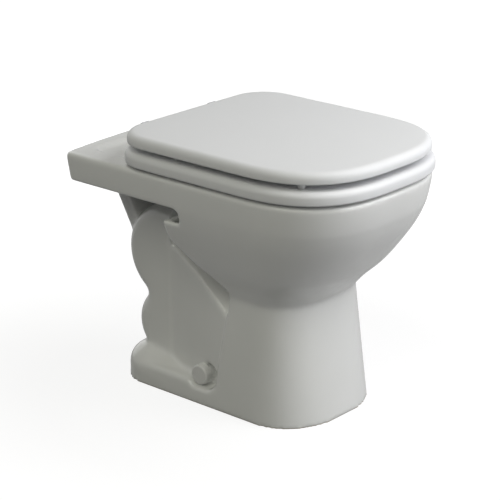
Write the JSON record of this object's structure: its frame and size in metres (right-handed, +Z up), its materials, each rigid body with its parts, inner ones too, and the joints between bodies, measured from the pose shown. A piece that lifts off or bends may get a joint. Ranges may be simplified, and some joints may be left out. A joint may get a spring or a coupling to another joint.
{
  "type": "compact toilet pan with seat",
  "caption": "Short floor-standing ceramic toilet pan with a rounded-square rim, tapered pedestal, exposed trap, rear flush inlet, and a hinged seat ring and lid.",
  "frame": {"origin": "on the floor under the middle of the overall box", "axes": "+Z up, -Y to the front of the pan, +X to the right as seen from the front"},
  "size_m": [0.36, 0.534, 0.4385],
  "materials": {
    "vitreous_china": "white gloss glaze",
    "lacquered_board": "board under white satin-gloss lacquer",
    "hinge_chrome": "polished",
    "steel": "zinc plated",
    "buffer_rubber": "pale grey, matt",
    "seal_rubber": "black, matt",
    "fitting_plastic": "moulded white",
    "cap_plastic": "moulded white, gloss"
  },
  "bodies": {
    "pan": {"pan": "vitreous_china", "outlet_seal": "seal_rubber", "inlet_seal": "seal_rubber", "hinge_pillar_right": "hinge_chrome", "hinge_pillar_left": "hinge_chrome", "hinge_pin_right": "steel", "hinge_pin_left": "steel", "hinge_base_washer_right": "buffer_rubber", "hinge_base_washer_left": "buffer_rubber", "hinge_stud_right": "steel", "hinge_stud_left": "steel", "hinge_cone_washer_right": "seal_rubber", "hinge_cone_washer_left": "seal_rubber", "hinge_nut_washer_right": "steel", "hinge_nut_washer_left": "steel", "hinge_wing_nut_right": "fitting_plastic", "hinge_wing_nut_left": "fitting_plastic", "fixing_cap_right": "cap_plastic", "fixing_cap_left": "cap_plastic", "fixing_sleeve_right": "fitting_plastic", "fixing_sleeve_left": "fitting_plastic", "fixing_washer_right": "steel", "fixing_washer_left": "steel", "fixing_screw_right": "steel", "fixing_screw_left": "steel", "floor_bracket_right": "steel", "floor_bracket_left": "steel"},
    "seat": {"seat_ring": "lacquered_board", "seat_leaf_right": "hinge_chrome", "seat_leaf_left": "hinge_chrome", "seat_leaf_screws_right": "steel", "seat_leaf_screws_left": "steel", "seat_buffer_rear_right": "buffer_rubber", "seat_buffer_rear_left": "buffer_rubber", "seat_buffer_front_right": "buffer_rubber", "seat_buffer_front_left": "buffer_rubber"},
    "lid": {"lid": "lacquered_board", "lid_leaf_right": "hinge_chrome", "lid_leaf_left": "hinge_chrome", "lid_leaf_screws_right": "steel", "lid_leaf_screws_left": "steel", "lid_buffer_rear_right": "buffer_rubber", "lid_buffer_rear_left": "buffer_rubber", "lid_buffer_front_right": "buffer_rubber", "lid_buffer_front_left": "buffer_rubber"}
  },
  "joints": [
    {"name": "seat_hinge", "type": "hinge", "parent": "pan", "child": "seat", "pos_m": [0, 0.1695, 0.42], "axis": [-1, 0, 0], "range_deg": [0, 94]},
    {"name": "lid_hinge", "type": "hinge", "parent": "seat", "child": "lid", "pos_m": [0, 0.1695, 0.42], "axis": [-1, 0, 0], "range_deg": [0, 94]}
  ]
}
